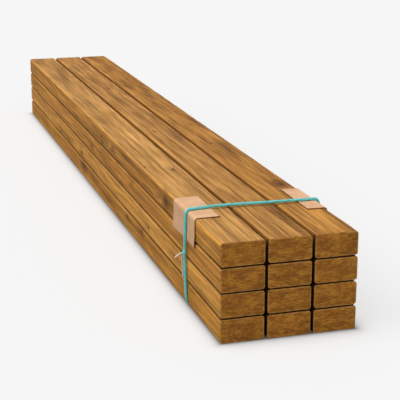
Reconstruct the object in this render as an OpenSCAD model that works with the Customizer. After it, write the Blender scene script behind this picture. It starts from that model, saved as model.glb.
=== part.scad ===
// A bundle of planed softwood studs, stacked in layers and tied near one end with
// twine that passes over two folded cardboard corner boards. X runs across the
// bundle, Y along the studs and Z up. The origin is in the middle of the underside,
// and the tied end is the near one, towards -Y.

/* [Studs] */
// Width of one stud, across the bundle
stud_w = 70; // [50:1:120]
// Thickness of one stud, which is its height as it lies
stud_t = 38; // [28:1:60]
// Length of one stud
stud_l = 1800; // [900:10:4800]
// Radius of the four planed edges along a stud
edge_r = 4; // [2:0.5:6]

/* [Stack] */
// Studs side by side in one layer
columns = 3; // [2:1:5]
// Layers of studs
layers = 4; // [3:1:8]
// Gap between studs side by side
column_gap = 4; // [0.5:0.1:5]
// Gap between one layer and the next
layer_gap = 1.8; // [0.2:0.1:3]

/* [Corner boards] */
// Distance from the twine to the middle of the boards, away from the near end
board_beyond_twine = 14; // [-30:1:30]
// Length of a board along the studs
board_l = 122; // [60:1:180]
// Thickness of the cardboard
board_t = 1.5; // [1:0.1:3]
// Width of the left board's flap on the top
left_top_flap = 41; // [25:1:48]
// Width of the left board's flap down the side
left_side_flap = 48; // [25:1:60]
// Width of the right board's flap on the top
right_top_flap = 34; // [25:1:48]
// Width of the right board's flap down the side
right_side_flap = 50; // [25:1:60]
// Clearance between a board and the wood
board_clear = 0.2; // [0.1:0.1:1]

/* [Twine] */
// Diameter of the twine where it is free
twine_d = 5; // [3:0.5:6]
// Distance from the near end of the studs to the twine
twine_from_end = 174; // [100:1:400]
// Thickness of the twine where it is pressed flat under the bundle
pressed_t = 1.4; // [1:0.1:2]
// Width of the twine where it is pressed flat under the bundle
pressed_w = 7; // [5:0.5:9]
// Clearance between the twine and what it lies on
twine_clear = 0.1; // [0.05:0.05:0.5]
// Clearance on each side of the twine in the dent that it leaves under the bundle
dent_clear = 2; // [1:0.5:5]
// Distance from the left board's lower edge down to the knot's middle
knot_drop = 21; // [15:1:35]
// Diameter of the knot
knot_d = 9; // [7:0.5:12]

/* [Hidden] */
column_pitch = stud_w + column_gap;
layer_pitch = stud_t + layer_gap;
bundle_w = columns * column_pitch - column_gap;
bundle_h = layers * layer_pitch - layer_gap;
twine_y = twine_from_end - stud_l / 2;
edge_x = bundle_w / 2 - edge_r;
wood = [0.76, 0.54, 0.29];
cardboard = [0.88, 0.67, 0.49];
teal = [0.25, 0.72, 0.71];
round_sides = 64;
ring_sides = 8;

function stud_name(layer, column) = str("stud_layer", layer, "_column", column);

// ---- Studs ----

// A stud's section: a rectangle with four rounded corners, standing on the X axis
module stud_section() {
    for (x = [edge_r - stud_w / 2, stud_w / 2 - edge_r]) {
        for (z = [edge_r, stud_t - edge_r]) {
            translate([x, z])
                circle(r = edge_r, $fn = round_sides);
        }
    }
    translate([-stud_w / 2, edge_r])
        square([stud_w, stud_t - 2 * edge_r]);
    translate([edge_r - stud_w / 2, 0])
        square([stud_w - 2 * edge_r, stud_t]);
}

// A length of something whose section is given, with its middle at the origin
module along_y(length) {
    translate([0, length / 2, 0])
        rotate([90, 0, 0])
            linear_extrude(height = length)
                children();
}

// The pressed twine and the wood give way to each other: a shallow dent under the
// bundle, and two bites out of its lower edges, which keep their radius
dent_t = pressed_t + 2 * twine_clear;
dent_l = pressed_w + 2 * dent_clear;
bite = 2 * edge_r;
module twine_dent() {
    translate([0, twine_y, 0])
        along_y(dent_l) {
            translate([-bundle_w, -bite])
                square([2 * bundle_w, bite + dent_t]);
            for (side = [-1, 1]) {
                difference() {
                    translate([side * edge_x + min(0, side) * bite, 0])
                        square([bite, dent_t + edge_r]);
                    translate([side * edge_x, dent_t + edge_r])
                        circle(r = edge_r, $fn = round_sides);
                }
            }
        }
}

module stud(layer, column) {
    color(wood)
        difference() {
            translate([(column - (columns + 1) / 2) * column_pitch, 0, (layer - 1) * layer_pitch])
                along_y(stud_l)
                    stud_section();
            if (layer == 1)
                twine_dent();
        }
}

// ---- Corner boards ----

// A board's section: two flaps and the fold between them, whose middle is the origin
fold_r = edge_r + board_clear;
board_r = fold_r + board_t;
module board_section(top_flap, side_flap) {
    intersection() {
        difference() {
            circle(r = board_r, $fn = round_sides);
            circle(r = fold_r, $fn = round_sides);
        }
        square(board_r);
    }
    translate([board_r - top_flap, fold_r])
        square([top_flap - board_r, board_t]);
    translate([fold_r, board_r - side_flap])
        square([board_t, side_flap - board_r]);
}

// A board on the stack's upper right edge, seen from the near end
module corner_board(top_flap, side_flap) {
    color(cardboard)
        translate([edge_x, twine_y + board_beyond_twine, bundle_h - edge_r])
            along_y(board_l)
                board_section(top_flap, side_flap);
}

module corner_board_right() {
    corner_board(right_top_flap, right_side_flap);
}

module corner_board_left() {
    mirror([1, 0, 0])
        corner_board(left_top_flap, left_side_flap);
}

// ---- Twine ----

// Where the twine's inner side runs, as seen from the near end: [x, z, angle away from
// the bundle]. It lies in the dent, round the lower edges and over the boards, and is
// straight in between. Each half is worked out for the right, and the left is mirrored.
low_r = edge_r + twine_clear;
high_r = board_r + twine_clear;
low_z = dent_t + edge_r;
high_z = bundle_h - edge_r;
function arc(centre_z, radius, from, to, steps) = [
    for (i = [0 : steps])
        let (a = from + (to - from) * i / steps)
            [edge_x + radius * cos(a), centre_z + radius * sin(a), a]
];
function straight(from, to, steps) = [
    for (i = [1 : steps - 1])
        let (share = i / steps)
            [from[0] + (to[0] - from[0]) * share, from[1] + (to[1] - from[1]) * share, to[2]]
];
function flap_end_z(side_flap) = bundle_h + board_clear + board_t - side_flap;
function half_route(side_flap) =
    let (
        edge_end = [edge_x + low_r, low_z, 0],
        flap_end = [edge_x + high_r, flap_end_z(side_flap), 0],
        fold_start = [edge_x + high_r, high_z, 0],
        top_middle = [0, high_z + high_r, 90]
    )
    concat(
        straight([0, low_z - low_r, -90], [edge_x, low_z - low_r, -90], 3),
        arc(low_z, low_r, -90, 0, 5),
        straight(edge_end, flap_end, 8),
        [flap_end],
        straight(flap_end, fold_start, 2),
        arc(high_z, high_r, 0, 90, 6),
        straight([edge_x, high_z + high_r, 90], top_middle, 4),
        [top_middle]
    );
right_half = half_route(right_side_flap);
left_half = [for (p = half_route(left_side_flap)) [-p[0], p[1], 180 - p[2]]];
// Clockwise from the middle of the underside: up the left half and down the right one
route = concat(
    [[0, low_z - low_r, 270]],
    left_half,
    [for (i = [len(right_half) - 2 : -1 : 0]) right_half[i]]
);

// The twine wanders along the studs on its way round: the angle about the bundle's
// middle, seen from the near end, and how far it is from its own place there
twine_wander = [
    [-180, 3], [-145, -1], [-90, 0], [-35, 1], [0, -1], [36, -3],
    [78, -1], [90, 1], [128, 3], [145, -5], [180, 3]
];
function wander(p) = lookup(atan2(p[1] - bundle_h / 2, p[0]), twine_wander);
// It turns from round to flat between these heights
round_z = 20;
flat_z = 4;
function flatness(z) = max(0, min(1, (round_z - z) / (round_z - flat_z)));
function blend(round_size, flat_size, z) = round_size + (flat_size - round_size) * flatness(z);
function twine_ring(p) =
    let (
        thick = blend(twine_d, pressed_t, p[1]) / 2,
        wide = blend(twine_d, pressed_w, p[1]) / 2,
        y = twine_y + wander(p)
    )
    [
        for (k = [0 : ring_sides - 1])
            let (out = thick * (1 + cos(360 * k / ring_sides)))
                [
                    p[0] + out * cos(p[2]),
                    y + wide * sin(360 * k / ring_sides),
                    p[1] + out * sin(p[2])
                ]
    ];

// Faces between one ring and the next, for rings whose points are listed in order
function skin(from, to, sides) = [
    for (k = [0 : sides - 1])
        let (next = (k + 1) % sides)
            [from * sides + k, from * sides + next, to * sides + next, to * sides + k]
];

module twine_loop() {
    rings = [for (p = route) each twine_ring(p)];
    count = len(route);
    polyhedron(
        points = rings,
        faces = [for (i = [0 : count - 1]) each skin(i, (i + 1) % count, ring_sides)]
    );
}

// A tail of the knot: points from the knot's middle, each with the tail's radius there
short_tail = [[0, 0, 0, 1.6], [-5, 1, -2, 1.4], [-10, 2, -5, 1.3], [-15, 2, -9, 1.5]];
long_tail = [
    [0, 0, 0, 1.6], [-1.5, 5, -5, 1.5], [-1.5, 8.5, -16, 1.4],
    [-1, 8.5, -30, 1.3], [0, 8, -44, 1.2]
];
function place(p) = [p[0], p[1], p[2]];
function unit(v) = v / norm(v);
function tail_ring(tail, i) =
    let (
        ahead = unit(place(tail[min(i + 1, len(tail) - 1)]) - place(tail[max(i - 1, 0)])),
        across = unit(cross(ahead, [0, 1, 0.2])),
        up = cross(across, ahead)
    )
    [
        for (k = [0 : ring_sides - 1])
            let (a = 360 * k / ring_sides)
                place(tail[i]) + tail[i][3] * (across * cos(a) + up * sin(a))
    ];
module tail(points) {
    last = len(points) - 1;
    polyhedron(
        points = [for (i = [0 : last]) each tail_ring(points, i)],
        faces = concat(
            [for (i = [0 : last - 1]) each skin(i, i + 1, ring_sides)],
            [[for (k = [ring_sides - 1 : -1 : 0]) k]],
            [[for (k = [0 : ring_sides - 1]) last * ring_sides + k]]
        )
    );
}

module twine() {
    knot_x = -bundle_w / 2 - twine_clear - knot_d / 2;
    knot_z = flap_end_z(left_side_flap) - knot_drop;
    color(teal) {
        twine_loop();
        translate([knot_x, twine_y + wander([knot_x, knot_z]), knot_z]) {
            sphere(d = knot_d, $fn = round_sides);
            tail(short_tail);
            tail(long_tail);
        }
    }
}

// ---- The bundle ----

for (layer = [1 : layers]) {
    for (column = [1 : columns]) {
        stud(layer, column);
    }
}
corner_board_left();
corner_board_right();
twine();
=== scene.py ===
"""The finish of a bundle of treated pine studs: timber, cardboard corner boards and twine."""

import math

import bmesh
import bpy
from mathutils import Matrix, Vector, noise


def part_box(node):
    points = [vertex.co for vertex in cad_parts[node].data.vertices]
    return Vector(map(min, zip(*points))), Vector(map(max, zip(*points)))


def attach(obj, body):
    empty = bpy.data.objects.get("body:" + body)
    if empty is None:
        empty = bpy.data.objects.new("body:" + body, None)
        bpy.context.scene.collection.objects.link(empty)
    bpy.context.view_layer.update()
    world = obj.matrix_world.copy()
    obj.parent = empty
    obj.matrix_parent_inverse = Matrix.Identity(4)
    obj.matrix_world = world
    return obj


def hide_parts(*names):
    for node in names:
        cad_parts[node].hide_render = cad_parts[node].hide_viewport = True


bl_info = {
    "name": "Stud bundle finish",
    "version": (1, 0, 0),
    "blender": (4, 5, 0),
    "location": "View3D > Sidebar > Stud bundle",
    "description": "Builds the timber, boards, twine and studio of a tied bundle of studs",
    "category": "Object",
}

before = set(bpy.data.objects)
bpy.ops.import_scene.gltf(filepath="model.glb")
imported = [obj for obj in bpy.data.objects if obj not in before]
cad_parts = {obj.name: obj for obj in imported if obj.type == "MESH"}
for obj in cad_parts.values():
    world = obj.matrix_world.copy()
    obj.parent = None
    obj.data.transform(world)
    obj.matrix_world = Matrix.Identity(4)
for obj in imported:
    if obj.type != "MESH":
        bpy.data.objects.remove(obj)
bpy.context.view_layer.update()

MM = 0.001
LAYERS = 4
COLUMNS = 3
# From the near end of the studs to the twine
TWINE_FROM_END = 174 * MM
TWINE_CLEAR = 0.1 * MM
# Depth and half length of the dent under the bundle, and where its shoulders start
TWINE_DENT = 1.6 * MM
DENT_FLOOR = 5.5 * MM
DENT_SHOULDER = 7.8 * MM
# The twine turns from round to flat between these heights
ROUND_ABOVE = 20 * MM
FLAT_BELOW = 4 * MM
PRESSED_THICKNESS = 1.4 * MM
PRESSED_WIDTH = 7 * MM
BOARD_CLEAR = 0.2 * MM
# From the left board's lower edge down to the knot's middle
KNOT_DROP = 21 * MM
KNOT_RADIUS = 4.5 * MM
FIBRE_RADIUS = 0.34 * MM
# How far from the bundle the floor's glow is weaker, as a painted contact shadow
CONTACT_REACH = 7 * MM
# Where the camera looks: this far from the near end, and this high
AIM_FROM_END = 0.468
AIM_HEIGHT = 0.088


# ---- What a user may change -------------------------------------------------------


def length_setting(name, text, default):
    return bpy.props.FloatProperty(name=name, description=text, default=default, unit="LENGTH")


def colour_setting(name, text, default):
    return bpy.props.FloatVectorProperty(
        name=name, description=text, default=default, size=3, subtype="COLOR")


class TimberSettings(bpy.types.PropertyGroup):
    """Sizes and colours of the studs."""

    edge_radius: length_setting(
        "Edge radius", "Radius of the planed edges along a stud", 4 * MM)
    sawn_rim: length_setting("Sawn rim", "Rounding of the rim of a sawn end", 0.6 * MM)
    bow: length_setting("Bow", "How far a stud wanders from straight", 0.35 * MM)
    edge_loss: length_setting("Edge loss", "Deepest knock in a planed edge", 0.9 * MM)
    early_wood: colour_setting(
        "Early wood", "Colour of the pale part of a growth ring", (0.60, 0.305, 0.084))
    late_wood: colour_setting(
        "Late wood", "Colour of the dark line of a growth ring", (0.27, 0.105, 0.022))
    # Painted shade: a darker, more saturated tint on the narrow side faces, standing in for how
    # the light falls on them
    side_face_shade: colour_setting(
        "Side face shade", "Tint of the narrow faces against the wide ones", (0.98, 0.86, 0.46))
    # Painted shade in the gaps between studs: brown at a gap's mouth, near black deeper in
    gap_mouth_shade: colour_setting(
        "Gap mouth shade", "Colour of the wood at the mouth of a gap between studs",
        (0.215, 0.080, 0.008))
    gap_depth_shade: colour_setting(
        "Gap depth shade", "Colour of the wood deep in a gap between studs", (0.055, 0.020, 0.003))
    knot_wood: colour_setting("Knot wood", "Colour of a knot's heart", (0.095, 0.045, 0.018))
    # Edge wear and a painted highlight: brighter wood on the planed edges that the light
    # reaches
    edge_wear_and_highlight: colour_setting(
        "Edge wear and highlight", "Colour of the bright wood on the planed edges", (0.92, 0.46, 0.115))
    sawn_end: colour_setting(
        "Sawn end", "Colour of the thirsty end grain", (0.68, 0.288, 0.035))
    soaked_end: colour_setting(
        "Soaked end", "Colour of the end grain where it soaked up most", (0.41, 0.147, 0.017))
    # Painted highlight along the rim of a sawn end
    sawn_rim_highlight: colour_setting(
        "Sawn rim highlight", "Colour of the paler rim of a sawn end", (0.72, 0.40, 0.12))


class BoardSettings(bpy.types.PropertyGroup):
    """Sizes and colours of the corner boards."""

    thickness: length_setting("Thickness", "Thickness of the cardboard", 1.5 * MM)
    lift: length_setting("Lift", "How far a flap's free corners stand off the wood", 1.6 * MM)
    bite: length_setting("Bite", "How deep the twine presses into the board", 0.6 * MM)
    card: colour_setting("Card", "Colour of the cardboard's face", (0.79, 0.47, 0.27))
    # The cut edge is painted dark, a painted shadow line along the board's edge
    core: colour_setting("Cut edge and shadow", "Colour of the cardboard's cut edge", (0.16, 0.070, 0.028))


class TwineSettings(bpy.types.PropertyGroup):
    """Sizes and colours of the twine."""

    diameter: length_setting("Diameter", "Thickness of the twine where it is free", 5 * MM)
    pitch: length_setting("Pitch", "Length of one turn of the strands", 60 * MM)
    teal: colour_setting("Teal", "Colour of the twine", (0.15, 0.74, 0.75))
    # The pale colour shows on the frayed tails, and as a painted highlight on the knot's left
    # half
    pale: colour_setting("Pale", "Colour of the frayed tails", (0.82, 0.78, 0.70))


class StudioSettings(bpy.types.PropertyGroup):
    """The floor, the light and the camera."""

    floor_colour: colour_setting(
        "Floor colour", "Colour of the studio floor", (0.36, 0.36, 0.36))
    floor_glow: bpy.props.FloatProperty(
        name="Floor glow", description="Light that comes through the floor", default=0.558)
    contact: bpy.props.FloatProperty(
        name="Contact shadow", description="Share of the glow missing close to the bundle",
        default=0.95)
    lens: bpy.props.FloatProperty(
        name="Lens", description="Focal length of the camera in millimetres",
        default=105.7)
    azimuth: bpy.props.FloatProperty(
        name="Azimuth", description="Turn of the camera about the upright",
        default=math.radians(-16.64), subtype="ANGLE")
    elevation: bpy.props.FloatProperty(
        name="Elevation", description="Height of the camera over the level",
        default=math.radians(15.68), subtype="ANGLE")
    distance: length_setting("Distance", "Distance from the camera to its aim", 2.18)


# ---- Shader nodes -----------------------------------------------------------------


class Bench:
    """Adds shader nodes to one node tree and joins them up."""

    def __init__(self, tree):
        self.tree = tree

    def feed(self, socket, value):
        if isinstance(value, bpy.types.NodeSocket):
            self.tree.links.new(value, socket)
        elif value is not None:
            socket.default_value = value

    def add(self, kind, inputs=None, **settings):
        node = self.tree.nodes.new("ShaderNode" + kind)
        for name, value in settings.items():
            setattr(node, name, value)
        for key, value in (inputs or {}).items():
            self.feed(node.inputs[key], value)
        return node

    def math(self, operation, *values):
        node = self.add("Math", operation=operation)
        for socket, value in zip(node.inputs, values):
            self.feed(socket, value)
        return node.outputs[0]

    def times(self, first, second):
        return self.math("MULTIPLY", first, second)

    def plus(self, value, factor, base):
        """base and factor times value."""
        return self.math("MULTIPLY_ADD", value, factor, base)

    def vector(self, operation, *values):
        node = self.add("VectorMath", operation=operation)
        for socket, value in zip(node.inputs, values):
            self.feed(socket, value)
        return node.outputs["Value" if operation == "LENGTH" else "Vector"]

    def stretch(self, vector, factors):
        return self.vector("MULTIPLY", vector, factors)

    def scale(self, vector, factor):
        return self.vector("SCALE", vector, None, None, factor)

    def xyz(self, x, y, z):
        return self.add("CombineXYZ", {"X": x, "Y": y, "Z": z}).outputs[0]

    def split(self, vector):
        return self.add("SeparateXYZ", {"Vector": vector}).outputs

    def noise(self, vector, detail, roughness=0.5, output="Fac"):
        node = self.add("TexNoise", {"Vector": vector, "Scale": 1.0, "Detail": detail,
                                     "Roughness": roughness})
        return node.outputs[output]

    def grain(self, place, factors, shift, detail, roughness):
        """Noise that is drawn out by factors and moved by shift."""
        moved = self.vector("ADD", self.stretch(place, factors), shift)
        return self.noise(moved, detail, roughness)

    def drift(self, place, factors, detail, shift=(0.0, 0.0, 0.0)):
        """A vector that wanders about nought from place to place."""
        moved = self.vector("ADD", self.stretch(place, factors), shift)
        tones = self.noise(moved, detail, output="Color")
        return self.vector("SUBTRACT", tones, (0.5, 0.5, 0.5))

    def line_noise(self, place, detail=1.0):
        node = self.add("TexNoise", {"W": place, "Scale": 1.0, "Detail": detail},
                        noise_dimensions="1D")
        return node.outputs["Fac"]

    def step(self, value, start, end, low=0.0, high=1.0):
        """A smooth step of value from low at start to high at end."""
        node = self.add("MapRange", {"Value": value, "From Min": start, "From Max": end,
                                     "To Min": low, "To Max": high},
                        interpolation_type="SMOOTHSTEP")
        return node.outputs[0]

    def mix(self, share, first, second, blend="MIX"):
        node = self.add("Mix", data_type="RGBA", blend_type=blend)
        self.feed(node.inputs[0], share)
        self.feed(node.inputs[6], first)
        self.feed(node.inputs[7], second)
        return node.outputs[2]

    def tint(self, share, first, second):
        """first, of which a share is multiplied by second."""
        return self.mix(share, first, second, "MULTIPLY")

    def mark(self, name):
        """A value that the mesh carries at its points or faces."""
        return self.add("Attribute", attribute_name=name).outputs["Fac"]

    def place(self):
        """The shaded point's place in the object, in millimetres."""
        return self.scale(self.add("TexCoord").outputs["Object"], 1 / MM)

    def group(self, name, inputs):
        tree = bpy.data.node_groups.get(name) or GROUPS[name]()
        return self.add("Group", inputs, node_tree=tree).outputs


def colour(value):
    return (*value, 1.0)


def shade(value, factor):
    """A colour, darker or lighter by a factor."""
    return (*(part * factor for part in value), 1.0)


def open_group(name, inputs, outputs):
    """A new shader node group: its bench, its inputs and where its outputs go."""
    tree = bpy.data.node_groups.new(name, "ShaderNodeTree")
    kinds = {"vector": "NodeSocketVector", "value": "NodeSocketFloat"}
    for label, kind in inputs.items():
        tree.interface.new_socket(label, in_out="INPUT", socket_type=kinds[kind])
    for label in outputs:
        tree.interface.new_socket(label, in_out="OUTPUT", socket_type="NodeSocketFloat")
    enter = tree.nodes.new("NodeGroupInput")
    leave = tree.nodes.new("NodeGroupOutput")
    return Bench(tree), enter.outputs, leave.inputs


def growth_rings_group():
    """Late wood of growth rings round a pith, in millimetres about a stud's middle."""
    b, enter, leave = open_group(
        "Growth rings",
        {"Position": "vector", "Pith": "vector", "Ring Width": "value", "Lean": "value",
         "Pull": "value", "Seed": "value"},
        ["Late Wood", "Ring Tone"])
    seed = b.xyz(enter["Seed"], b.times(enter["Seed"], 1.7), enter["Seed"])
    drift = b.drift(enter["Position"], (0.008, 0.0012, 0.008), 1.0, seed)
    ripple = b.drift(enter["Position"], (0.05, 0.006, 0.05), 2.0, seed)
    moved = b.vector("ADD", enter["Position"], b.scale(drift, 34.0))
    moved = b.vector("ADD", moved, b.scale(ripple, 3.0))
    moved = b.vector("SUBTRACT", moved, enter["Pith"])
    place = b.split(moved)
    along = b.split(enter["Position"])["Y"]
    across = b.math("SUBTRACT", place["X"], b.times(along, enter["Lean"]))
    radius = b.math("ADD", b.vector("LENGTH", b.xyz(across, 0.0, place["Z"])), enter["Pull"])
    count = b.math("DIVIDE", radius, enter["Ring Width"])
    uneven = b.line_noise(b.math("ADD", b.times(count, 0.31), enter["Seed"]))
    count = b.math("ADD", count, b.times(uneven, 2.6))
    part = b.math("FRACT", count)
    rise = b.step(part, 0.22, 0.86)
    fall = b.step(part, 0.90, 1.0, 1.0, 0.0)
    ring = b.math("ADD", b.math("FLOOR", count), enter["Seed"])
    tone = b.line_noise(b.times(ring, 0.73), 0.0)
    strength = b.step(tone, 0.3, 0.7, 0.45, 1.0)
    b.feed(leave["Late Wood"], b.times(b.times(rise, fall), strength))
    b.feed(leave["Ring Tone"], tone)
    return b.tree


def fibres_group():
    """Streaks along the wood's fibres, fine to broad, and slow blotches, from -1 to 1."""
    b, enter, leave = open_group(
        "Wood fibres", {"Position": "vector", "Seed": "value"},
        ["Pores", "Fine", "Broad", "Blotch"])
    seed = b.xyz(enter["Seed"], b.times(enter["Seed"], 0.7), enter["Seed"])
    for label, scale, detail, reach in (
            ("Pores", (2.2, 0.06, 2.2), 1.0, 0.20), ("Fine", (0.46, 0.009, 0.46), 4.0, 0.19),
            ("Broad", (0.13, 0.0045, 0.13), 4.0, 0.17),
            ("Blotch", (0.035, 0.005, 0.035), 4.0, 0.16)):
        value = b.grain(enter["Position"], scale, seed, detail, 0.62)
        b.feed(leave[label], b.step(value, 0.5 - reach, 0.5 + reach, -1.0, 1.0))
    return b.tree


def knot_group():
    """A knot drawn out along the grain, and how it pulls the rings round it."""
    b, enter, leave = open_group(
        "Knot", {"Position": "vector", "Centre": "vector", "Radius": "value"},
        ["Heart", "Halo", "Pull"])
    reach = b.vector("SUBTRACT", enter["Position"], enter["Centre"])
    ragged = b.drift(enter["Position"], (0.16, 0.05, 0.16), 3.0)
    reach = b.vector("ADD", reach, b.stretch(ragged, (6.0, 14.0, 6.0)))
    away = b.math("DIVIDE", b.vector("LENGTH", b.stretch(reach, (1.0, 0.42, 1.0))),
                  enter["Radius"])
    b.feed(leave["Heart"], b.step(away, 0.3, 1.3, 1.0, 0.0))
    b.feed(leave["Halo"], b.step(away, 0.7, 3.8, 1.0, 0.0))
    bell = b.math("EXPONENT", b.times(b.times(away, away), -0.16))
    b.feed(leave["Pull"], b.times(b.times(bell, enter["Radius"]), 1.7))
    return b.tree


def patch_group():
    """A ragged patch of the given size about a place."""
    b, enter, leave = open_group(
        "Patch",
        {"Position": "vector", "Centre": "vector", "Size": "vector", "Ragged": "value"},
        ["Mask"])
    reach = b.vector("DIVIDE", b.vector("SUBTRACT", enter["Position"], enter["Centre"]),
                     enter["Size"])
    grain = b.noise(b.stretch(enter["Position"], (0.11, 0.02, 0.11)), 3.0, 0.6)
    ragged = b.times(b.math("SUBTRACT", grain, 0.5), enter["Ragged"])
    away = b.math("ADD", b.vector("LENGTH", reach), ragged)
    b.feed(leave["Mask"], b.step(away, 0.35, 1.15, 1.0, 0.0))
    return b.tree


GROUPS = {
    "Growth rings": growth_rings_group,
    "Wood fibres": fibres_group,
    "Knot": knot_group,
    "Patch": patch_group,
}


def new_material(name):
    """An empty node material, its bench and its Principled shader."""
    material = bpy.data.materials.new(name)
    material.use_nodes = True
    b = Bench(material.node_tree)
    shader = material.node_tree.nodes["Principled BSDF"]
    return material, b, shader


def join_up(b, shader, base, roughness, gloss, strength, depth, height):
    """Feeds a Principled shader. Its relief is height times depth, shown at strength."""
    b.feed(shader.inputs["Base Color"], base)
    b.feed(shader.inputs["Roughness"], roughness)
    b.feed(shader.inputs["Specular IOR Level"], gloss)
    bump = b.add("Bump", {"Strength": strength, "Distance": depth, "Height": height})
    b.feed(shader.inputs["Normal"], bump.outputs[0])


# ---- The studs --------------------------------------------------------------------

# What sets each stud apart, by layer from the floor and by column from the left. Places
# are in millimetres: x and z from the middle of the section, y from the near end.
#   pith: where the heart of the tree runs (x, z), often outside the stud
#   rings: width of a growth ring
#   lean: drift of the pith per millimetre of length
#   show: how much the late wood stands out, and end_rings: the same on the sawn ends
#   tone: the stud's colour against the others
#   contrast: strength of the streaks
#   knots: (x, y, z, radius), each on the face it shows on
#   patches: (x, y, z, half length, colour factor) for stains and bright places, and for painted
#       shade where the light falls off towards the far end
PLAIN_STUD = {"lean": 0.0, "show": 0.30, "end_rings": 0.30, "contrast": 1.0, "knots": (),
              "patches": ()}
STUDS = {
    (4, 1): {"pith": (-62, 4), "rings": 4.4, "lean": 0.003, "show": 0.55,
             "tone": (1.04, 1.03, 0.97),
             "knots": [(15, 439, 19, 5), (-35, 305, -1, 6), (-30, 473, 19, 2.5),
                       (-35, 722, -6, 4), (-35, 821, -12, 4), (28, 1472, 19, 3)],
             "patches": [(8, 720, 19, 75, 1.20), (-35, 560, 0, 160, 0.80),
                         (-35, 60, 0, 80, 1.15), (-35, 930, 4, 120, 0.82),
                         # The long patch on the far half is painted shade where the light falls
                         # off
                         (0, 1560, 19, 520, 0.80), (-35, 305, 0, 34, 0.62),
                         (-35, 800, -8, 60, 0.78)]},
    (4, 2): {"pith": (10, -64), "rings": 5.4, "lean": 0.010,
             "tone": (0.88, 0.81, 0.68), "contrast": 1.15,
             "knots": [(4, 1275, 19, 4), (-12, 760, 19, 2.5)],
             "patches": [(32, 120, 19, 75, 0.76), (-22, 60, 19, 50, 1.06),
                         (8, 470, 19, 110, 1.12), (14, 900, 19, 140, 0.88),
                         (-20, 250, 19, 60, 0.86)]},
    (4, 3): {"pith": (14, -48), "rings": 5.0, "lean": -0.008, "show": 0.32,
             "tone": (0.80, 0.69, 0.42), "contrast": 1.25,
             "knots": [(17, 288, 19, 6), (33, 861, 19, 5.5), (34, 1142, 19, 5),
                       (-3, 626, 19, 3), (27, 1309, 19, 3)],
             "patches": [(0, 70, 19, 90, 1.32), (10, 560, 19, 120, 0.86),
                         # The long patch on the far half is painted shade where the light falls
                         # off
                         (0, 1000, 19, 130, 0.90), (0, 1560, 19, 520, 0.82),
                         (17, 295, 19, 40, 0.72)]},
    (3, 1): {"pith": (44, 8), "rings": 4.2, "lean": -0.008, "tone": (1.03, 1.00, 0.94),
             "knots": [(-35, 560, 6, 3), (-35, 930, -3, 4)],
             "patches": [(-35, 90, 0, 70, 1.08), (-35, 760, 0, 150, 0.90)]},
    (3, 2): {"pith": (-8, -70), "rings": 4.6, "tone": (0.95, 0.93, 0.85)},
    (3, 3): {"pith": (20, 60), "rings": 4.2, "lean": 0.008, "tone": (0.95, 0.93, 0.85),
             "knots": [(35, 500, 3, 5), (35, 1240, -6, 4)],
             "patches": [(35, 800, 0, 150, 0.88)]},
    (2, 1): {"pith": (30, -44), "rings": 4.0, "lean": 0.008, "tone": (1.16, 1.20, 1.34),
             "knots": [(-35, 1054, -7, 6), (-35, 1320, -12, 3), (-35, 430, -4, 3)],
             "patches": [(-35, 420, 0, 200, 1.10), (-35, 1240, 0, 120, 0.80),
                         (-35, 250, -6, 40, 0.80)]},
    (2, 2): {"pith": (4, 52), "rings": 4.4, "tone": (1.0, 0.98, 0.9)},
    (2, 3): {"pith": (-26, 36), "rings": 5.0, "lean": -0.008, "tone": (0.97, 0.95, 0.88),
             "knots": [(35, 900, -4, 5)], "patches": [(35, 300, 0, 120, 1.1)]},
    (1, 1): {"pith": (-12, -6), "rings": 4.4, "lean": 0.004, "show": 0.34,
             "tone": (0.94, 0.92, 0.74), "end_rings": 0.6,
             "knots": [(-35, 1027, 9, 6), (-35, 481, 13, 4), (-35, 595, 10, 4)],
             "patches": [(-35, 760, 0, 170, 0.84), (-35, 60, 0, 80, 1.30),
                         (-35, 1030, 8, 50, 0.68), (-35, 490, 12, 40, 0.78)]},
    (1, 2): {"pith": (12, 64), "rings": 4.8, "tone": (0.97, 0.95, 0.88)},
    (1, 3): {"pith": (-10, -58), "rings": 4.2, "lean": 0.006, "tone": (0.98, 0.95, 0.88),
             "knots": [(35, 1300, 0, 5)], "patches": [(35, 600, 0, 140, 0.88)]},
}


def stud_node(layer, column):
    return f"stud_layer{layer}_column{column}"


def sawn_grain(b, settings, spec, place, late, to_rim, seed):
    """The colour of a sawn end: blotched, with the rings just showing and a paler rim that is a
    painted highlight.
    """
    soak = b.grain(place, (0.05, 0.0, 0.11), (seed, seed, 0.0), 4.0, 0.62)
    speck = b.grain(place, (0.14, 0.0, 0.48), (seed, seed, 0.0), 3.0, 0.6)
    sawn = b.mix(b.step(soak, 0.36, 0.64), colour(settings.sawn_end),
                 colour(settings.soaked_end))
    sawn = b.mix(b.step(speck, 0.44, 0.68, 0.0, 0.75), sawn, shade(settings.soaked_end, 0.58))
    sawn = b.mix(b.times(late, spec["end_rings"]), sawn, shade(settings.soaked_end, 0.62))
    # The paler rim is a painted highlight
    inside = b.step(to_rim, 0.6, 3.2)
    rim = b.times(b.math("SUBTRACT", 1.0, inside), b.step(speck, 0.65, 0.35, 0.2, 0.7))
    return b.mix(rim, sawn, colour(settings.sawn_rim_highlight))


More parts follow.
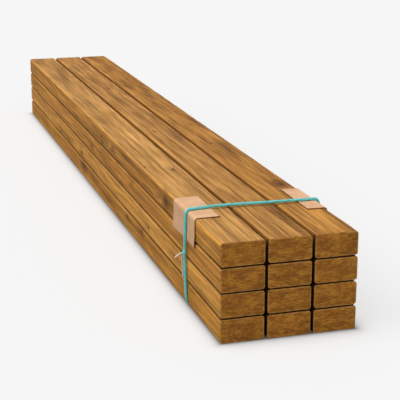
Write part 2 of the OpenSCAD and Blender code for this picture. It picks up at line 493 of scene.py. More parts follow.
def treated_pine(settings, layer, column, low, high):
    """The material of one stud: rings, knots, fibres, painted shade in the gaps, rubbed edges
    with a painted highlight, and sawn ends.
    """
    spec = {**PLAIN_STUD, **STUDS[layer, column]}
    middle, half = (low + high) / 2, (high - low) / 2 / MM
    seed = 3.7 * layer + 11.3 * column
    material, b, shader = new_material(f"treated pine {layer}-{column}")
    place = b.add("Mapping", {
        "Vector": b.add("TexCoord").outputs["Object"],
        "Location": (-middle.x / MM, -low.y / MM, -middle.z / MM),
        "Scale": (1 / MM, 1 / MM, 1 / MM)}).outputs[0]
    edge, end, gap_shade = b.mark("edge"), b.mark("sawn_end"), b.mark("gap_shade")

    heart, halo, pull = 0.0, 0.0, 0.0
    for knot in spec["knots"]:
        found = b.group("Knot", {"Position": place, "Centre": knot[:3], "Radius": knot[3]})
        heart = b.math("MAXIMUM", heart, found["Heart"])
        halo = b.math("MAXIMUM", halo, found["Halo"])
        pull = b.math("ADD", pull, found["Pull"])

    rings = b.group("Growth rings", {
        "Position": place, "Pith": (spec["pith"][0], 0.0, spec["pith"][1]),
        "Ring Width": spec["rings"], "Lean": spec["lean"], "Pull": pull, "Seed": seed})
    fibres = b.group("Wood fibres", {"Position": place, "Seed": seed})
    late = rings["Late Wood"]
    parts = b.split(place)
    to_side = b.math("SUBTRACT", half.x, b.math("ABSOLUTE", parts["X"]))
    to_top = b.math("SUBTRACT", half.z, b.math("ABSOLUTE", parts["Z"]))

    wood = b.mix(b.times(late, spec["show"]), colour(settings.early_wood),
                 colour(settings.late_wood))
    # Streaks, bands and blotches of lighter and darker wood
    light = b.plus(fibres["Fine"], 0.24, 1.0)
    light = b.plus(fibres["Broad"], 0.26, light)
    light = b.plus(fibres["Blotch"], 0.13, light)
    light = b.plus(b.math("SUBTRACT", rings["Ring Tone"], 0.5), 0.25, light)
    # Patches: stains, bright places, and painted shade towards the far end of the top studs
    for patch in spec["patches"]:
        mask = b.group("Patch", {"Position": place, "Centre": patch[:3],
                                 "Size": (22.0, patch[3], 22.0), "Ragged": 1.3})["Mask"]
        light = b.times(light, b.plus(mask, patch[4] - 1.0, 1.0))
    light = b.plus(b.math("SUBTRACT", light, 1.0), spec["contrast"], 1.0)
    light = b.math("MAXIMUM", light, 0.35)
    wood = b.tint(1.0, wood, b.xyz(light, b.math("POWER", light, 1.15),
                                   b.math("POWER", light, 1.5)))
    wood = b.tint(1.0, wood, colour(spec["tone"]))
    # The treatment took unevenly: olive in one place and reddish in another
    uptake = b.grain(place, (0.07, 0.0045, 0.07), (seed, 0.0, 0.0), 3.0, 0.6)
    wood = b.tint(b.step(uptake, 0.50, 0.70, 0.0, 0.6), wood, (0.84, 0.85, 0.92, 1.0))
    wood = b.tint(b.step(uptake, 0.48, 0.30, 0.0, 0.6), wood, (1.04, 0.96, 0.92, 1.0))
    # Painted shade: the narrow side faces get a darker, more saturated tint for how the light
    # falls on them
    wood = b.tint(b.step(to_side, 3.0, 0.5), wood, colour(settings.side_face_shade))
    # Knots
    wood = b.tint(b.times(halo, 0.55), wood, (0.66, 0.60, 0.52, 1.0))
    wood = b.mix(b.times(heart, 0.8), wood, colour(settings.knot_wood))
    # Planed edges: real wear, and a painted highlight where the light reaches them
    wear_and_highlight = b.grain(place, (0.10, 0.014, 0.10), (0.0, seed, 0.0), 3.0, 0.65)
    wear_and_highlight = b.times(b.step(wear_and_highlight, 0.30, 0.62, 0.25, 1.0), edge)
    wood = b.mix(b.times(wear_and_highlight, 0.85), wood, colour(settings.edge_wear_and_highlight))
    wood = b.mix(end, wood, sawn_grain(b, settings, spec, place, late,
                                       b.math("MINIMUM", to_side, to_top), seed))
    # Painted shade where studs face each other: brown at the mouth of a gap, near black deeper
    # in
    wood = b.mix(b.step(gap_shade, 0.0, 0.40, 0.0, 0.85), wood, colour(settings.gap_mouth_shade))
    wood = b.mix(b.step(gap_shade, 0.45, 1.0), wood, colour(settings.gap_depth_shade))

    saw_marks = b.noise(b.stretch(place, (0.10, 0.0, 1.9)), 2.0)
    pores = b.times(fibres["Pores"], b.math("SUBTRACT", 1.0, end))
    height = b.plus(pores, 0.30, b.times(fibres["Fine"], 0.8))
    height = b.plus(late, 0.5, height)
    height = b.plus(b.times(saw_marks, end), 1.2, height)
    height = b.plus(heart, 0.6, height)
    rough = b.plus(end, 0.12, b.plus(late, -0.10, 0.74))
    join_up(b, shader, wood, rough, 0.28, 0.6, 0.5 * MM, height)
    return material


def slice_mesh(bm, place, normal):
    """Adds edges all round a mesh where a plane meets it."""
    bmesh.ops.bisect_plane(
        bm, geom=bm.verts[:] + bm.edges[:] + bm.faces[:], dist=1e-7, plane_co=place,
        plane_no=normal)


def stud_blank(size, settings, cuts_across, cuts_up, cuts_along):
    """A stud about the origin, with planed edges, an eased rim and an even mesh."""
    bm = bmesh.new()
    bmesh.ops.create_cube(bm, size=1.0)
    bmesh.ops.scale(bm, vec=size, verts=bm.verts)
    half = size / 2

    def runs_along(edge):
        span = edge.verts[0].co - edge.verts[1].co
        return abs(span.y) > 0.9 * size.y

    bmesh.ops.bevel(
        bm, geom=[e for e in bm.edges if runs_along(e)], offset=settings.edge_radius,
        offset_type="OFFSET", affect="EDGES", segments=4, profile=0.5, material=-1)
    ends = [f for f in bm.faces if abs(f.normal.y) > 0.9]
    rim = list({e for f in ends for e in f.edges})
    bmesh.ops.bevel(
        bm, geom=rim, offset=settings.sawn_rim, offset_type="OFFSET", affect="EDGES",
        segments=2, profile=0.5, material=-1)
    for axis, count, reach in ((0, cuts_across, half.x - settings.edge_radius),
                               (2, cuts_up, half.z - settings.edge_radius)):
        for i in range(count):
            place, normal = Vector((0, 0, 0)), Vector((0, 0, 0))
            place[axis] = reach * (2 * (i + 1) / (count + 1) - 1)
            normal[axis] = 1.0
            slice_mesh(bm, place, normal)
    bmesh.ops.subdivide_edges(
        bm, edges=[e for e in bm.edges if runs_along(e)], cuts=cuts_along,
        use_grid_fill=True)
    return bm


def smooth_step(value, start, end):
    """0 before start and 1 past end, smoothly; start may be the larger."""
    share = min(1.0, max(0.0, (value - start) / (end - start)))
    return share * share * (3 - 2 * share)


def edge_share(place, half, radius):
    """How much of a planed edge a point is: 1 in the middle of its rounding, 0 on a face."""
    x = (abs(place.x) - (half.x - radius)) / radius
    z = (abs(place.z) - (half.z - radius)) / radius
    if x <= 0.0 or z <= 0.0:
        return 0.0
    return max(0.0, 1.0 - abs(math.atan2(z, x) / (math.pi / 4) - 1.0))


def press_dent(bm, size, settings):
    """The dent across a bottom stud in which the twine lies, with soft shoulders."""
    middle = TWINE_FROM_END - size.y / 2
    depth = TWINE_DENT + settings.bow
    for off in (-8, -6.8, -5.6, -3, 0, 3, 5.6, 6.8, 8):
        slice_mesh(bm, (0, middle + off * MM, 0), (0, 1, 0))
    for vert in bm.verts:
        if vert.co.z < settings.edge_radius - size.z / 2 + 1e-6:
            vert.co.z += depth * smooth_step(
                abs(vert.co.y - middle), DENT_SHOULDER, DENT_FLOOR)


def mark_stud(bm, size, settings, layer, column):
    """Marks the planed edges for wear and a painted highlight, the sawn ends, and the painted
    shade where a stud faces another stud.
    """
    half = size / 2
    edge = bm.verts.layers.float.new("edge")
    end = bm.verts.layers.float.new("sawn_end")
    gap_shade = bm.verts.layers.float.new("gap_shade")
    bm.normal_update()
    facing = [Vector(way) for way, neighbour in (
        ((-1, 0, 0), column > 1), ((1, 0, 0), column < COLUMNS),
        ((0, 0, -1), layer > 1), ((0, 0, 1), layer < LAYERS)) if neighbour]
    for vert in bm.verts:
        # How far a point faces other studs, and how deep in the stack it lies: this sets its
        # painted shade
        across, up = (sum(max(0.0, vert.normal.dot(way)) for way in facing if way[axis])
                      for axis in (0, 2))
        gap_shade_share = max(smooth_step(across, 0.34, 0.82), smooth_step(up, 0.58, 0.86),
                     smooth_step(math.hypot(across, up), 0.90, 1.0))
        depth = min([half.z - vert.co.z] * (layer == LAYERS)
                    + [half.x + vert.co.x] * (column == 1)
                    + [half.x - vert.co.x] * (column == COLUMNS) + [1.0])
        # The painted shade is lighter at the mouth of a gap, where light reaches, except where
        # four studs meet at their ends
        gap_shade_share *= 1.0 - 0.52 * smooth_step(depth, 20 * MM, 8 * MM) * smooth_step(
            half.y - abs(vert.co.y), 0.0, 12 * MM)
        vert[gap_shade] = gap_shade_share
        # The painted highlight on a planed edge fades where the edge lies in painted shade
        vert[edge] = edge_share(vert.co, half, settings.edge_radius) * (1.0 - gap_shade_share) ** 2
        vert[end] = 1.0 if abs(vert.co.y) > half.y - 1e-6 else 0.0


def weather(bm, size, settings, layer, column):
    """Takes a blank out of true: bow, uneven planing, knocked edges and ends off square."""
    half = size / 2
    seed = Vector((7.3 * column, 3.1 * layer, 1.9 * layer * column))
    radius = settings.edge_radius
    skew_x, skew_z = noise.noise(seed) * 0.010, noise.noise(seed * 1.7) * 0.012
    trim = {-1: (0.2 + abs(noise.noise(seed * 2.3))) * MM,
            1: (0.2 + abs(noise.noise(seed * 3.1))) * 1.6 * MM}
    for vert in bm.verts:
        place = vert.co.copy()
        share = edge_share(place, half, radius)
        along = place.y / size.y
        knock = noise.noise(Vector((place.x * 25, place.y * 22, place.z * 25)) + seed)
        knock = max(0.0, knock - 0.08) * 1.6 * settings.edge_loss
        fine = noise.noise(Vector((place.x * 60, place.y * 90, place.z * 60)) + seed)
        uneven = noise.noise(Vector((place.x * 30, place.y * 5, place.z * 30)) + seed)
        # The upper left edge of the bundle is wavy over its far half
        if (layer, column) == (LAYERS, 1) and place.x < 0 < place.z and place.y > 0.05:
            wave = math.sin(place.y * 75) + 0.6 * math.sin(place.y * 131)
            knock += max(0.0, wave) * settings.edge_loss * smooth_step(place.y, 0.05, 0.25)
        inward = share * (knock + 0.12 * MM * fine) + (1 + uneven) * 0.10 * MM
        reach = min(1.0, 3.0 * (half.y - abs(place.y)) / size.y + 0.2)
        vert.co.x -= math.copysign(inward, place.x) * min(1.0, abs(place.x) / (half.x - radius))
        vert.co.z -= math.copysign(inward, place.z) * min(1.0, abs(place.z) / (half.z - radius))
        vert.co.x += settings.bow * noise.noise(Vector((along * 1.6, 0, 0)) + seed) * reach
        vert.co.z += settings.bow * noise.noise(Vector((0, along * 2.1, 5)) + seed) * reach
        side = 1 if place.y > 0 else -1
        closeness = max(0.0, 1.0 - (half.y - abs(place.y)) / (20 * MM))
        lost = trim[side] + abs(skew_x * (place.x + half.x)) + abs(skew_z * (place.z + half.z))
        vert.co.y -= side * lost * closeness
        # The planer left nothing proud of the section
        vert.co.x = max(-half.x, min(half.x, vert.co.x))
        vert.co.z = max(-half.z, min(half.z, vert.co.z))


def make_stud(settings, layer, column):
    node = stud_node(layer, column)
    low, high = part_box(node)
    size = high - low
    outer = column in (1, COLUMNS) or layer in (1, LAYERS)
    bm = stud_blank(size, settings, cuts_across=8, cuts_up=5,
                    cuts_along=230 if outer else 40)
    if layer == 1:
        press_dent(bm, size, settings)
    mark_stud(bm, size, settings, layer, column)
    weather(bm, size, settings, layer, column)
    bmesh.ops.translate(bm, vec=(low + high) / 2, verts=bm.verts)
    piece = mesh_object(f"timber_layer{layer}_column{column}", bm)
    piece.data.materials.append(treated_pine(settings, layer, column, low, high))
    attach(piece, "root")
    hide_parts(node)


def mesh_object(name, bm):
    """A smooth piece from a bmesh, with its place in its mesh."""
    for face in bm.faces:
        face.smooth = True
    mesh = bpy.data.meshes.new(name)
    bm.to_mesh(mesh)
    bm.free()
    piece = bpy.data.objects.new(name, mesh)
    bpy.context.scene.collection.objects.link(piece)
    return piece


# ---- The corner boards ------------------------------------------------------------


def cardboard(settings):
    """Solid paper board: pale mottled faces, cut edges painted dark as a shadow line, and fine
    fibres.
    """
    material, b, shader = new_material("corner board card")
    place = b.place()
    cut = b.mark("cut_edge")
    fold = b.mark("fold")
    cloud = b.noise(b.scale(place, 0.045), 3.0, 0.6)
    speck = b.noise(b.scale(place, 1.1), 2.0, 0.7)
    fibre = b.noise(b.stretch(place, (0.9, 0.16, 0.9)), 3.0, 0.7)
    face = b.mix(b.step(cloud, 0.35, 0.68), shade(settings.card, 0.93),
                 shade(settings.card, 1.08))
    face = b.mix(b.step(fibre, 0.42, 0.75, 0.0, 0.35), face, shade(settings.card, 0.80))
    face = b.mix(b.step(speck, 0.66, 0.74, 0.0, 0.6), face, shade(settings.card, 0.62))
    face = b.mix(b.times(fold, b.step(fibre, 0.4, 0.7, 0.1, 0.55)), face,
                 shade(settings.card, 1.18))
    # The cut edge's colour: the card's core, painted dark as a shadow line
    layers = b.noise(b.stretch(place, (2.6, 0.2, 2.6)), 1.0)
    core = b.mix(b.step(layers, 0.4, 0.6), shade(settings.core, 0.8),
                 shade(settings.core, 1.15))
    card = b.mix(b.times(cut, 0.9), face, core)
    height = b.plus(fibre, 0.6, b.times(speck, 0.4))
    join_up(b, shader, card, b.step(fibre, 0.3, 0.7, 0.80, 0.92), 0.2, 0.4, 0.3 * MM, height)
    return material


def fold_point(across, top, fold_radius):
    """Where a point of the flat card goes when it is folded over a right-hand edge.

    across is measured from the free edge of the top flap. The fold's middle is the
    origin, and the card's inner face is fold_radius from it. Gives x, z and the angle
    that faces away from the wood."""
    bend = fold_radius * math.pi / 2
    flat = top - fold_radius
    if across < flat:
        return across - flat, fold_radius, math.pi / 2
    if across < flat + bend:
        angle = math.pi / 2 - (across - flat) / fold_radius
        return fold_radius * math.cos(angle), fold_radius * math.sin(angle), angle
    return fold_radius, -(across - flat - bend), 0.0


def folded_card(settings, low, high, side, fold_radius):
    """A card folded over the stack's upper right edge, pressed by the twine and lifting
    at its free corners, with the middle of its fold at the origin. side is 1 for the
    right edge of the stack and -1 for the left, which is mirrored later."""
    thick = settings.thickness
    length = high.y - low.y
    top = (high.x - low.x) - thick
    down = (high.z - low.z) - thick
    flat_width = (top - fold_radius) + fold_radius * math.pi / 2 + (down - fold_radius)
    bm = bmesh.new()
    bmesh.ops.create_grid(bm, x_segments=56, y_segments=64, size=0.5)
    mark_fold = bm.verts.layers.float.new("fold")
    mark_cut = bm.faces.layers.float.new("cut_edge")
    middle_y = (low.y + high.y) / 2
    seed = Vector((side * 4.0, 2.0, 9.0))
    for vert in bm.verts:
        u, v = vert.co.x + 0.5, vert.co.y
        x, z, angle = fold_point(u * flat_width, top, fold_radius)
        along = v * length
        from_twine = along + middle_y - twine_y()
        # A flap's free corners lift off the wood away from the twine
        free = max(0.0, -x - 6 * MM) / top if angle > 1.5 else max(0.0, -z) / down
        lift = settings.lift * free ** 1.6 * min(1.0, (from_twine / (50 * MM)) ** 2)
        lift *= 1.0 if angle < 0.1 else 0.45
        lift += 0.25 * MM * free * (1 + noise.noise(Vector((u * 6, v * 5, 0)) + seed))
        # The cut edges aren't quite straight
        ragged = 0.5 * MM * noise.noise(Vector((u * 9, v * 9, 4)) + seed)
        along += ragged * (2 * v) ** 8
        # The twine bites into the card
        lift -= settings.bite * 0.35 * math.exp(-(from_twine / (4.5 * MM)) ** 2)
        lift = max(lift, -BOARD_CLEAR * 0.6)
        from_fold = u * flat_width - top + fold_radius * 0.2
        vert[mark_fold] = math.exp(-(from_fold / (3.5 * MM)) ** 2)
        vert.co = Vector((x + lift * math.cos(angle), along, z + lift * math.sin(angle)))
    bmesh.ops.recalc_face_normals(bm, faces=bm.faces)
    if sum(f.normal.z + f.normal.x for f in bm.faces) < 0:
        bmesh.ops.reverse_faces(bm, faces=bm.faces)
    first_skin = set(bm.verts)
    bmesh.ops.solidify(bm, geom=bm.faces[:], thickness=-thick)
    # The cut edges join the two skins
    rim = [f for f in bm.faces if len({v in first_skin for v in f.verts}) == 2]
    if not rim:
        raise RuntimeError("the card has no cut edges")
    for face in rim:
        face[mark_cut] = 1.0
    return bm


def build_board(settings, node, side):
    """One corner board: side is 1 for the right edge of the stack and -1 for the left."""
    low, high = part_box(node)
    fold_radius = bpy.context.scene.timber_settings.edge_radius + BOARD_CLEAR
    bm = folded_card(settings, low, high, side, fold_radius)
    inset = settings.thickness + fold_radius
    centre = Vector(((high.x if side > 0 else -low.x) - inset, (low.y + high.y) / 2,
                     high.z - inset))
    bmesh.ops.translate(bm, vec=centre, verts=bm.verts)
    bmesh.ops.recalc_face_normals(bm, faces=bm.faces)
    if side < 0:
        bmesh.ops.scale(bm, vec=(-1, 1, 1), verts=bm.verts)
        bmesh.ops.reverse_faces(bm, faces=bm.faces)
    piece = mesh_object(f"card_{'right' if side > 0 else 'left'}", bm)
    piece.data.materials.append(cardboard(settings))
    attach(piece, "root")
    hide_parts(node)


# ---- The twine --------------------------------------------------------------------


def spun_plastic(settings):
    """Twisted polypropylene: glossy split film with fine fibres along each strand."""
    material, b, shader = new_material("teal twine")
    place = b.place()
    pale = b.mark("pale")
    fibre = b.noise(b.scale(place, 2.4), 3.0, 0.6)
    cloud = b.noise(b.scale(place, 0.06), 2.0)
    teal = b.mix(b.step(fibre, 0.35, 0.65), shade(settings.teal, 0.72),
                 shade(settings.teal, 1.25))
    teal = b.mix(b.step(cloud, 0.4, 0.7, 0.0, 0.3), teal, shade(settings.teal, 0.75))
    # Pale frayed fibres on the tails, and a painted highlight on the knot's left half
    frayed = b.mix(b.step(fibre, 0.35, 0.6), shade(settings.pale, 0.78), colour(settings.pale))
    join_up(b, shader, b.mix(pale, teal, frayed), b.step(fibre, 0.3, 0.7, 0.34, 0.52), 0.5,
            0.35, 0.2 * MM, fibre)
    return material


# The twine wanders along the studs on its way round the bundle: the angle about the
# bundle's middle in degrees, seen from the near end, and the millimetres it is off
TWINE_WANDER = [(-180, 3), (-145, -1), (-90, 0), (-35, 1), (0, -1), (36, -3), (78, -1),
                (90, 1), (128, 3), (145, -5), (180, 3)]


def twine_y(x=None, z=None):
    """Where the twine runs along the studs: on the whole, or at a place on its way."""
    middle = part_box(stud_node(1, 1))[0].y + TWINE_FROM_END
    if x is None:
        return middle
    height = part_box(stud_node(LAYERS, 1))[1].z
    angle = math.degrees(math.atan2(z - height / 2, x))
    for (start, off), (stop, then) in zip(TWINE_WANDER, TWINE_WANDER[1:]):
        if start <= angle <= stop:
            return middle + (off + (then - off) * (angle - start) / (stop - start)) * MM
    return middle + TWINE_WANDER[-1][1] * MM


def twine_route():
    """The line on which the twine's inner side lies, closed, clockwise from the middle of
    the underside: points of (x, z, angle away from the bundle)."""
    edge = bpy.context.scene.timber_settings.edge_radius
    left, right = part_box("corner_board_left"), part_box("corner_board_right")
    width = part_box(stud_node(1, COLUMNS))[1].x * 2
    edge_x = width / 2 - edge
    board_r = right[1].x - edge_x
    low_r, low_z = edge + TWINE_CLEAR, TWINE_DENT + edge
    high_r, high_z = board_r + TWINE_CLEAR, right[1].z - board_r

    def quarter(centre_z, radius, start):
        turns = [start + 90 * i / 8 for i in range(9)]
        return [(edge_x + radius * math.cos(math.radians(turn)),
                 centre_z + radius * math.sin(math.radians(turn)), turn) for turn in turns]

    def half(flap_end):
        under = [(edge_x * i / 6, low_z - low_r, -90.0) for i in range(1, 6)]
        slant = [(edge_x + low_r + (high_r - low_r) * i / 20,
                  low_z + (flap_end - low_z) * i / 20, 0.0) for i in range(1, 21)]
        flap = [(edge_x + high_r, flap_end + (high_z - flap_end) * i / 6, 0.0)
                for i in range(1, 6)]
        top = [(edge_x * (1 - i / 15), high_z + high_r, 90.0) for i in range(1, 16)]
        return (under + quarter(low_z, low_r, -90.0) + slant + flap
                + quarter(high_z, high_r, 0.0) + top)

    left_half = [(-x, z, 180 - a) for x, z, a in half(left[0].z)]
    right_half = half(right[0].z)[:-1]
    return [(0.0, low_z - low_r, 270.0)] + left_half + right_half[::-1]


def twine_centres(settings):
    """The twine's centre line: places, the way off the bundle, half thickness and half
    width there."""
    rows = []
    for x, z, angle in twine_route():
        flat = min(1.0, max(0.0, (ROUND_ABOVE - z) / (ROUND_ABOVE - FLAT_BELOW)))
        thick = (settings.diameter + (PRESSED_THICKNESS - settings.diameter) * flat) / 2
        wide = (settings.diameter + (PRESSED_WIDTH - settings.diameter) * flat) / 2
        out = Vector((math.cos(math.radians(angle)), 0, math.sin(math.radians(angle))))
        place = Vector((x, twine_y(x, z), z)) + out * thick
        rows.append((place, out, thick, wide))
    return rows


def resample(rows, gap):
    """The same closed line with points at an even gap, and its length."""
    closed = rows + rows[:1]
    lengths = [(b[0] - a[0]).length for a, b in zip(closed, closed[1:])]
    total = sum(lengths)
    count = round(total / gap)
    found, i, walked = [], 0, 0.0
    for step in range(count):
        target = total * step / count
        while walked + lengths[i] < target:
            walked += lengths[i]
            i += 1
        share = (target - walked) / lengths[i]
        a, b = closed[i], closed[i + 1]
        found.append((a[0].lerp(b[0], share), a[1].lerp(b[1], share).normalized(),
                      a[2] + (b[2] - a[2]) * share, a[3] + (b[3] - a[3]) * share))
    return found, total


def tubes(name, lines, cyclic=False, resolution=2):
    """A mesh of round tubes along lines of (place, radius)."""
    curve = bpy.data.curves.new(name, "CURVE")
    curve.dimensions = "3D"
    curve.bevel_depth = MM
    curve.bevel_resolution = resolution
    curve.use_fill_caps = True
    for line in lines:
        spline = curve.splines.new("POLY")
        spline.points.add(len(line) - 1)
        spline.use_cyclic_u = cyclic
        for point, (place, radius) in zip(spline.points, line):
            point.co = (*place, 1.0)
            point.radius = radius / MM
    holder = bpy.data.objects.new(name, curve)
    bpy.context.scene.collection.objects.link(holder)
    depsgraph = bpy.context.evaluated_depsgraph_get()
    mesh = bpy.data.meshes.new_from_object(holder.evaluated_get(depsgraph))
    bpy.data.objects.remove(holder)
    bpy.data.curves.remove(curve)
    mesh.name = name
    piece = bpy.data.objects.new(name, mesh)
    bpy.context.scene.collection.objects.link(piece)
    for face in mesh.polygons:
        face.use_smooth = True
    return piece


def finish_twine(piece, material, pale):
    """Gives a twine piece its material and how pale each point of it is."""
    mesh = piece.data
    mesh.materials.clear()
    mesh.materials.append(material)
    mark = mesh.attributes.new("pale", "FLOAT", "POINT")
    for i, vert in enumerate(mesh.vertices):
        mark.data[i].value = pale(vert.co)
    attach(piece, "root")
    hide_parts("twine")


def twisted_loop(settings, material):
    """The twine round the bundle: three strands, pressed flat under it."""
    rows, total = resample(twine_centres(settings), 1.6 * MM)
    turns = round(total / settings.pitch)
    lines = []
    for strand in range(3):
        line = []
        for i, (place, out, thick, wide) in enumerate(rows):
            turn = 2 * math.pi * (turns * i / len(rows) + strand / 3)
            radius = min(0.36 * settings.diameter, 0.98 * thick)
            reach = Vector((0, 1, 0)) * math.sin(turn) * (wide - radius)
            reach += out * math.cos(turn) * max(0.0, thick - radius)
            line.append((place + reach, radius))
        lines.append(line)
    piece = tubes("twine_round_the_bundle", lines, cyclic=True)
    finish_twine(piece, material, lambda place: 0.0)


def knot_and_tails(settings, material):
    """The overhand knot on the left side and its two tails, whose fibres fray."""
    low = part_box("corner_board_left")[0].z
    wood_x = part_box(stud_node(1, 1))[0].x
    middle = Vector((wood_x - TWINE_CLEAR - KNOT_RADIUS, 0, low - KNOT_DROP))
    middle.y = twine_y(middle.x, middle.z)
    # A trefoil of two cords that wind round each other
    trefoil_size, cord_radius, cord_offset = 0.265 * KNOT_RADIUS, 0.95 * MM, 0.45 * MM
    lines = []
    for strand in range(2):
        loop = []
        for i in range(97):
            t = 2 * math.pi * i / 96
            place = Vector((-math.sin(3 * t) * 0.8, math.sin(t) + 2 * math.sin(2 * t),
                            math.cos(t) - 2 * math.cos(2 * t))) * trefoil_size
            place += Vector((0, math.cos(9 * t + strand * math.pi),
                             math.sin(9 * t + strand * math.pi))) * cord_offset
            loop.append((middle + place, cord_radius))
        lines.append(loop)
    piece = tubes("twine_knot", lines, cyclic=True)
    # Painted highlight: the knot's left half, which faces the light, is a little paler
    finish_twine(piece, material, lambda place: 0.25 if place.x < middle.x else 0.0)

    # Each tail: its way from the knot in millimetres, its spread and its count of fibres
    tails = (
        ([(0, 0, 0), (-5, 1, -2), (-10, 2, -5), (-14.7, 2, -8.8)], 1.5, 26),
        ([(0, 0, 0), (-1.5, 5, -5), (-1.5, 8.5, -16), (-1, 8.5, -30), (0, 8, -44)], 1.2, 30))
    fibres = []
    for route, spread, count in tails:
        legs = len(route) - 1
        for fibre in range(count):
            off = math.sqrt((fibre + 0.5) / count)
            line = []
            for i in range(6 * legs + 1):
                share = i / (6 * legs)
                leg = min(int(share * legs), legs - 1)
                place = Vector(route[leg]).lerp(Vector(route[leg + 1]), share * legs - leg)
                fray = 0.70 + 0.25 * share ** 3
                turn = 2.4 * fibre + 5.0 * share
                place += Vector((math.cos(turn) * 0.8, math.sin(turn),
                                 math.sin(turn) * 0.5)) * off * spread * fray * 0.74
                wobble = noise.noise(Vector((fibre * 3.3, share * 4, 0)))
                place += Vector((wobble, -wobble, wobble)) * 0.5 * share
                line.append((middle + place * MM, FIBRE_RADIUS))
            fibres.append(line)
    piece = tubes("twine_tails", fibres, resolution=0)

    def pale(place):
        return min(1.0, max(0.0, ((place - middle).length / MM - 3) / 6))

    finish_twine(piece, material, pale)


# ---- The studio -------------------------------------------------------------------


def add_sun(name, strength, direction, spread):
    """A soft sun that shines from the given direction."""
    light = bpy.data.lights.new(name, "SUN")
    light.energy = strength * math.pi
    light.angle = math.radians(spread)
    lamp = bpy.data.objects.new(name, light)
    lamp.rotation_euler = Vector(direction).to_track_quat("Z", "Y").to_euler()
    bpy.context.scene.collection.objects.link(lamp)


# The suns: name, strength, the direction they shine from and how wide they are in degrees
SUNS = (
    ("overhead", 0.32, (-0.08, 0.14, 1.0), 18),
    ("left", 0.40, (-1.0, -0.05, 1.2), 55),
    ("front", 0.13, (-0.3, -1.0, 0.5), 60),
)


def make_floor(settings):
    """A pale floor. Half of its light comes through it, as on a lit table, but not under
    the bundle and close to it, where the missing glow is a painted contact shadow."""
    bm = bmesh.new()
    bmesh.ops.create_grid(bm, x_segments=8, y_segments=8, size=20.0)
    floor = mesh_object("studio_floor", bm)
    material, b, shader = new_material("studio floor")
    place = b.add("TexCoord").outputs["Object"]
    cloud = b.noise(b.scale(place, 0.8), 2.0)
    b.feed(shader.inputs["Base Color"], b.mix(
        b.step(cloud, 0.3, 0.7, 0.0, 0.02), colour(settings.floor_colour),
        shade(settings.floor_colour, 0.97)))
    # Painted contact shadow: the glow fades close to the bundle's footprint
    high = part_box(stud_node(1, COLUMNS))[1]
    past = b.vector("MAXIMUM", b.vector("SUBTRACT", b.vector("ABSOLUTE", place),
                                        (high.x, high.y, 10.0)), (0.0, 0.0, 0.0))
    gap = b.math("DIVIDE", b.vector("LENGTH", past), CONTACT_REACH)
    open_floor = b.math("SUBTRACT", 1.0, b.times(
        b.math("EXPONENT", b.times(gap, -1.0)), settings.contact))
    seen = b.add("LightPath").outputs["Is Camera Ray"]
    glow = b.times(b.times(seen, settings.floor_glow), open_floor)
    shader.inputs["Emission Color"].default_value = (1.0, 1.0, 1.0, 1.0)
    b.feed(shader.inputs["Emission Strength"], glow)
    shader.inputs["Roughness"].default_value = 0.9
    shader.inputs["Specular IOR Level"].default_value = 0.0
    floor.data.materials.append(material)


def make_studio(settings):
    scene = bpy.context.scene
    make_floor(settings)
    # The dome lights the bundle softly, and to the camera it is as pale as the floor
    dome_light, dome_paleness = 0.34, 0.57
    world = bpy.data.worlds.new("studio dome")
    world.use_nodes = True
    dome = Bench(world.node_tree)
    seen = dome.add("LightPath").outputs["Is Camera Ray"]
    background = world.node_tree.nodes["Background"]
    background.inputs["Color"].default_value = (1, 1, 1, 1)
    dome.feed(background.inputs["Strength"], dome.plus(seen, dome_paleness, dome_light))
    scene.world = world
    for sun in SUNS:
        add_sun(*sun)
    scene.view_settings.view_transform = "Standard"

    aim = Vector((0.0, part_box(stud_node(1, 1))[0].y + AIM_FROM_END, AIM_HEIGHT))
    away = Vector((math.sin(settings.azimuth) * math.cos(settings.elevation),
                   -math.cos(settings.azimuth) * math.cos(settings.elevation),
                   math.sin(settings.elevation)))
    camera = bpy.data.cameras.new("camera")
    camera.lens = settings.lens
    camera.sensor_width = 36.0
    stand = bpy.data.objects.new("camera", camera)
    stand.location = aim + away * settings.distance
    stand.rotation_euler = (math.pi / 2 - settings.elevation, 0.0, settings.azimuth)
    scene.collection.objects.link(stand)
    scene.camera = stand


# ---- Operators and the panel ------------------------------------------------------


class BUNDLE_OT_studs(bpy.types.Operator):
    """Build every stud of the bundle"""

    bl_idname = "bundle.studs"
    bl_label = "Studs"

    def execute(self, context):
        for layer in range(1, LAYERS + 1):
            for column in range(1, COLUMNS + 1):
                make_stud(context.scene.timber_settings, layer, column)
        return {"FINISHED"}


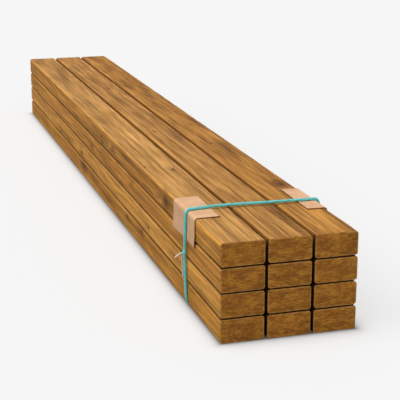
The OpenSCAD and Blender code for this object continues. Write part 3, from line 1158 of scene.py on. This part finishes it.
class BUNDLE_OT_corner_boards(bpy.types.Operator):
    """Build the two corner boards"""

    bl_idname = "bundle.corner_boards"
    bl_label = "Corner boards"

    def execute(self, context):
        settings = context.scene.board_settings
        build_board(settings, "corner_board_left", -1)
        build_board(settings, "corner_board_right", 1)
        return {"FINISHED"}


class BUNDLE_OT_twine(bpy.types.Operator):
    """Build the twine, its knot and its tails"""

    bl_idname = "bundle.twine"
    bl_label = "Twine"

    def execute(self, context):
        settings = context.scene.twine_settings
        material = spun_plastic(settings)
        twisted_loop(settings, material)
        knot_and_tails(settings, material)
        return {"FINISHED"}


class BUNDLE_OT_studio(bpy.types.Operator):
    """Set up the floor, the light and the camera"""

    bl_idname = "bundle.studio"
    bl_label = "Studio"

    def execute(self, context):
        make_studio(context.scene.studio_settings)
        return {"FINISHED"}


class BUNDLE_PT_panel(bpy.types.Panel):
    """Lists the operators and settings of the bundle"""

    bl_idname = "BUNDLE_PT_panel"
    bl_label = "Stud bundle"
    bl_space_type = "VIEW_3D"
    bl_region_type = "UI"
    bl_category = "Stud bundle"

    def draw(self, context):
        for name, operator in PANEL_ROWS:
            box = self.layout.box()
            settings = getattr(context.scene, name)
            for key in settings.__annotations__:
                box.prop(settings, key)
            box.operator(operator)


PANEL_ROWS = [
    ("timber_settings", "bundle.studs"),
    ("board_settings", "bundle.corner_boards"),
    ("twine_settings", "bundle.twine"),
    ("studio_settings", "bundle.studio"),
]
SETTINGS = {
    "timber_settings": TimberSettings,
    "board_settings": BoardSettings,
    "twine_settings": TwineSettings,
    "studio_settings": StudioSettings,
}
CLASSES = (*SETTINGS.values(), BUNDLE_OT_studs, BUNDLE_OT_corner_boards, BUNDLE_OT_twine,
           BUNDLE_OT_studio, BUNDLE_PT_panel)


def register():
    for item in CLASSES:
        bpy.utils.register_class(item)
    for name, kind in SETTINGS.items():
        setattr(bpy.types.Scene, name, bpy.props.PointerProperty(type=kind))


def unregister():
    for name in SETTINGS:
        delattr(bpy.types.Scene, name)
    for item in reversed(CLASSES):
        bpy.utils.unregister_class(item)


def main():
    register()
    bpy.ops.bundle.studs()
    bpy.ops.bundle.corner_boards()
    bpy.ops.bundle.twine()
    bpy.ops.bundle.studio()


if __name__ == "__main__":
    main()
